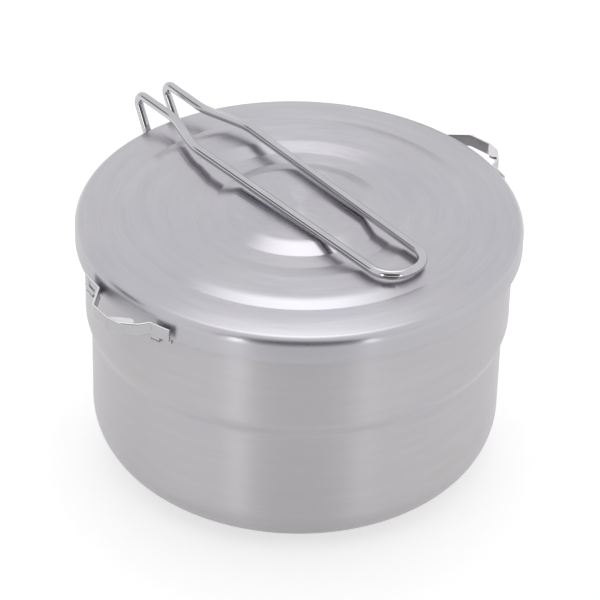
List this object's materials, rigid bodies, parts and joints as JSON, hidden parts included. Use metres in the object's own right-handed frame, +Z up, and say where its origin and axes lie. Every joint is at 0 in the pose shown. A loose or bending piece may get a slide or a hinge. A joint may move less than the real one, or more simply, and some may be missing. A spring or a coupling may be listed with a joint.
{
  "type": "lidded camp cooking pot",
  "caption": "Stepped steel camp pot with a ringed lid, a wire handle that folds over the lid and two bent strip side handles",
  "frame": {"origin": "centre of the flat base, on the surface it stands on", "axes": "+Z up; +X from the handle's hinge across the lid to its grip; the side handles are on -Y (left) and +Y (right)"},
  "size_m": [0.216, 0.2264, 0.1318],
  "materials": {
    "pot_steel": "satin, brushed round the wall",
    "lid_steel": "satin, spun in fine rings",
    "wire_steel": "polished wire",
    "bracket_steel": "satin",
    "rivet_steel": "polished",
    "strip_steel": "polished strip"
  },
  "bodies": {
    "pot": {"pot_body": "pot_steel", "hinge_bracket": "bracket_steel", "hinge_rivets": "rivet_steel", "side_handle_left": "strip_steel", "side_handle_right": "strip_steel"},
    "cover": {"lid": "lid_steel"},
    "handle": {"wire_handle": "wire_steel"}
  },
  "joints": [
    {"name": "handle_swing", "type": "hinge", "parent": "pot", "child": "handle", "pos_m": [-0.0998, 0, 0.1], "axis": [0, -1, 0], "range_deg": [0, 146]},
    {"name": "lid_lift", "type": "slide", "parent": "pot", "child": "cover", "axis": [0, 0, 1], "range_m": [0, 0.052]}
  ],
  "couplings": [
    {"joint": "lid_lift", "follows": "handle_swing", "m_per_rad": 0.02}
  ]
}
